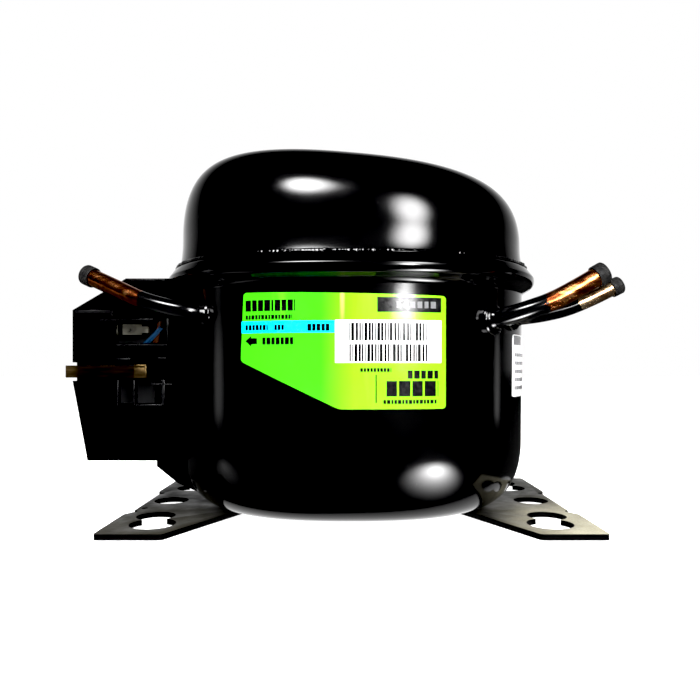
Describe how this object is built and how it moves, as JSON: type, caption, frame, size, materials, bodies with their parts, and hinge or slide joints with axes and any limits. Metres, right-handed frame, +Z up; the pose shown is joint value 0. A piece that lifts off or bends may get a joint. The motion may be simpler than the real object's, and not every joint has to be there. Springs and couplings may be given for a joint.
{
  "type": "hermetic reciprocating compressor",
  "caption": "Welded steel housing on two slotted feet holding a spring-mounted motor and piston pump, with copper stub tubes and a side terminal box.",
  "frame": {"origin": "bottom centre of the overall box, on the plane the feet stand on; the mounting-hole pattern is centred at X = +4.6 mm, Y = 0", "axes": "+Z up, +X towards the two connecting tubes on the right of the name label, -Y towards the reader of the label"},
  "size_m": [0.2444, 0.1642, 0.1656],
  "materials": {
    "shell_paint": "gloss black enamel with a slight orange peel",
    "foot_paint": "satin dark grey-brown, black on the sheared edges",
    "tube_copper": "copper tube with an orange-brown bloom, painted black near the wall",
    "cap_rubber": "matt",
    "green_label": "satin printed film",
    "white_label": "matt printed film",
    "cover_plastic": "fine moulded texture",
    "clip_steel": "yellow-bronze passivated strip",
    "starter_plastic": "moulded phenolic",
    "zinc_steel": "zinc plated",
    "blue_wire": "PVC insulation",
    "brown_wire": "PVC insulation",
    "grey_iron": "as cast, machined on the running faces",
    "machined_steel": "ground",
    "rotor_aluminium": "turned laminations with cast rings",
    "rod_aluminium": "die cast",
    "gasket_fibre": "matt",
    "muffler_plastic": "natural moulded polymer",
    "core_steel": "stacked laminations",
    "winding_copper": "enamelled wire, laced",
    "spring_steel": "drawn wire"
  },
  "bodies": {
    "housing": {"lower_shell": "shell_paint", "top_cover": "shell_paint", "weld_bead": "shell_paint", "left_foot": "foot_paint", "right_foot": "foot_paint", "suction_tube": "tube_copper", "process_tube": "tube_copper", "discharge_tube": "tube_copper", "suction_collar": "shell_paint", "process_collar": "shell_paint", "discharge_collar": "shell_paint", "name_label": "green_label", "side_label": "white_label", "terminal_bracket": "shell_paint", "hermetic_terminal": "machined_steel", "starter": "starter_plastic", "overload_protector": "starter_plastic", "earth_tab": "zinc_steel", "blue_lead": "blue_wire", "brown_lead": "brown_wire", "winding_plug": "muffler_plastic", "spring_1": "spring_steel", "spring_2": "spring_steel", "spring_3": "spring_steel", "spring_4": "spring_steel"},
    "terminal_cover_body": {"terminal_cover": "cover_plastic"},
    "cover_clip_body": {"cover_clip": "clip_steel"},
    "suction_cap_body": {"suction_cap": "cap_rubber"},
    "process_cap_body": {"process_cap": "cap_rubber"},
    "discharge_cap_body": {"discharge_cap": "cap_rubber"},
    "pump_unit": {"crankcase": "grey_iron", "cylinder_gasket": "gasket_fibre", "valve_plate": "machined_steel", "head_gasket": "gasket_fibre", "cylinder_head": "rod_aluminium", "head_bolt_1": "machined_steel", "head_bolt_2": "machined_steel", "head_bolt_3": "machined_steel", "head_bolt_4": "machined_steel", "suction_muffler": "muffler_plastic", "discharge_muffler": "machined_steel", "discharge_line": "tube_copper", "stator_core": "core_steel", "lower_winding": "winding_copper", "upper_winding": "winding_copper", "stator_bolt_1": "machined_steel", "stator_bolt_2": "machined_steel", "stator_bolt_3": "machined_steel", "stator_bolt_4": "machined_steel", "thrust_washer": "machined_steel"},
    "crank_assembly": {"crankshaft": "machined_steel", "counterweight": "grey_iron", "rotor": "rotor_aluminium", "oil_pickup": "machined_steel"},
    "connecting_rod_body": {"connecting_rod": "rod_aluminium"},
    "piston_assembly": {"piston": "grey_iron", "wrist_pin": "machined_steel"},
    "suction_reed_body": {"suction_reed": "machined_steel"},
    "discharge_reed_body": {"discharge_reed": "machined_steel"}
  },
  "joints": [
    {"name": "pump_float", "type": "slide", "parent": "housing", "child": "pump_unit", "axis": [0, 0, 1], "range_m": [-0.003, 0.003], "stiffness_N_per_m": 12000, "springref_m": 0.00285, "deforming": ["spring_1", "spring_2", "spring_3", "spring_4"]},
    {"name": "crank_spin", "type": "hinge", "parent": "pump_unit", "child": "crank_assembly", "pos_m": [-0.00538, 0, 0.08], "axis": [0, 0, 1], "continuous": true},
    {"name": "rod_swing", "type": "hinge", "parent": "crank_assembly", "child": "connecting_rod_body", "pos_m": [-0.01188, 0, 0.121], "axis": [0, 0, 1], "continuous": true},
    {"name": "piston_slide", "type": "slide", "parent": "pump_unit", "child": "piston_assembly", "axis": [1, 0, 0], "range_m": [0, 0.013]},
    {"name": "suction_reed_flex", "type": "hinge", "parent": "pump_unit", "child": "suction_reed_body", "pos_m": [0.06297, 0.0046, 0.1134], "axis": [0, 1, 0], "range_deg": [-6, 0], "stiffness_Nm_per_rad": 0.004},
    {"name": "discharge_reed_flex", "type": "hinge", "parent": "pump_unit", "child": "discharge_reed_body", "pos_m": [0.06717, -0.0046, 0.1134], "axis": [0, 1, 0], "range_deg": [0, 6], "stiffness_Nm_per_rad": 0.004},
    {"name": "cover_slide", "type": "slide", "parent": "housing", "child": "terminal_cover_body", "axis": [-1, 0, 0], "range_m": [0, 0.045]},
    {"name": "clip_slide", "type": "slide", "parent": "terminal_cover_body", "child": "cover_clip_body", "axis": [-1, 0, 0], "range_m": [0, 0.04]},
    {"name": "suction_cap_pull", "type": "slide", "parent": "housing", "child": "suction_cap_body", "axis": [-0.8612, 0.3307, 0.3858], "range_m": [0, 0.012]},
    {"name": "process_cap_pull", "type": "slide", "parent": "housing", "child": "process_cap_body", "axis": [0.8639, 0.0518, 0.5011], "range_m": [0, 0.012]},
    {"name": "discharge_cap_pull", "type": "slide", "parent": "housing", "child": "discharge_cap_body", "axis": [0.8963, 0.0779, 0.4365], "range_m": [0, 0.012]}
  ],
  "couplings": [
    {"joint": "rod_swing", "follows": "crank_spin", "ratio": -1}
  ]
}
